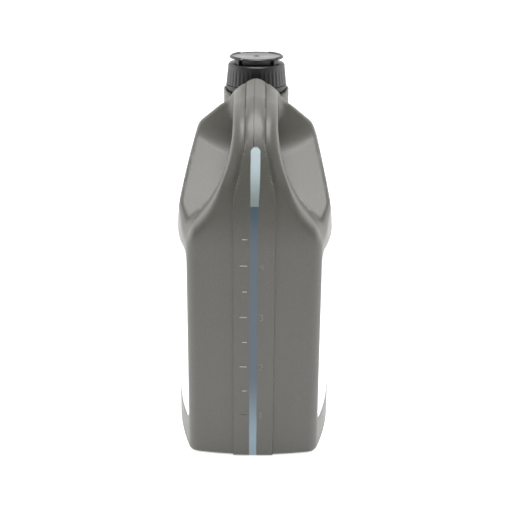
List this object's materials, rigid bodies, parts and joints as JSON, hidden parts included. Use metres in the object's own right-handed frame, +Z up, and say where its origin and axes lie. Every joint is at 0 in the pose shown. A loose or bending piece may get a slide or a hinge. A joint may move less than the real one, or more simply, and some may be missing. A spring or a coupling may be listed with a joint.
{
  "type": "motor oil bottle",
  "caption": "Five-litre blow-moulded jug with a hollow side handle, scooped shoulders, level stripe, two side labels and a screw cap with a tamper ring.",
  "frame": {"origin": "middle of the jug's base, on the surface it stands on", "axes": "+Z up through the jug; +X towards the handle end; +Y across the jug's width"},
  "size_m": [0.1972, 0.137, 0.323],
  "materials": {
    "pearl_grey_plastic": "satin pearl grey, with a translucent stripe down the handle end",
    "oil": "clear amber oil",
    "black_plastic": "satin black",
    "foam": "white foam",
    "label_film": "glossy printed film"
  },
  "bodies": {
    "jug": {"bottle": "pearl_grey_plastic", "oil": "oil", "tamper_ring": "black_plastic", "front_label": "label_film", "back_label": "label_film"},
    "liner": {"cap_liner": "foam"},
    "cap": {"screw_cap": "black_plastic"}
  },
  "joints": [
    {"name": "cap_lift", "type": "slide", "parent": "jug", "child": "liner", "axis": [0, 0, 1], "range_m": [0, 0.042]},
    {"name": "cap_turn", "type": "hinge", "parent": "liner", "child": "cap", "pos_m": [-0.045, 0, 0.3], "axis": [0, 0, 1], "range_deg": [0, 2520]}
  ],
  "couplings": [
    {"joint": "cap_lift", "follows": "cap_turn", "m_per_rad": 0.00095493}
  ]
}
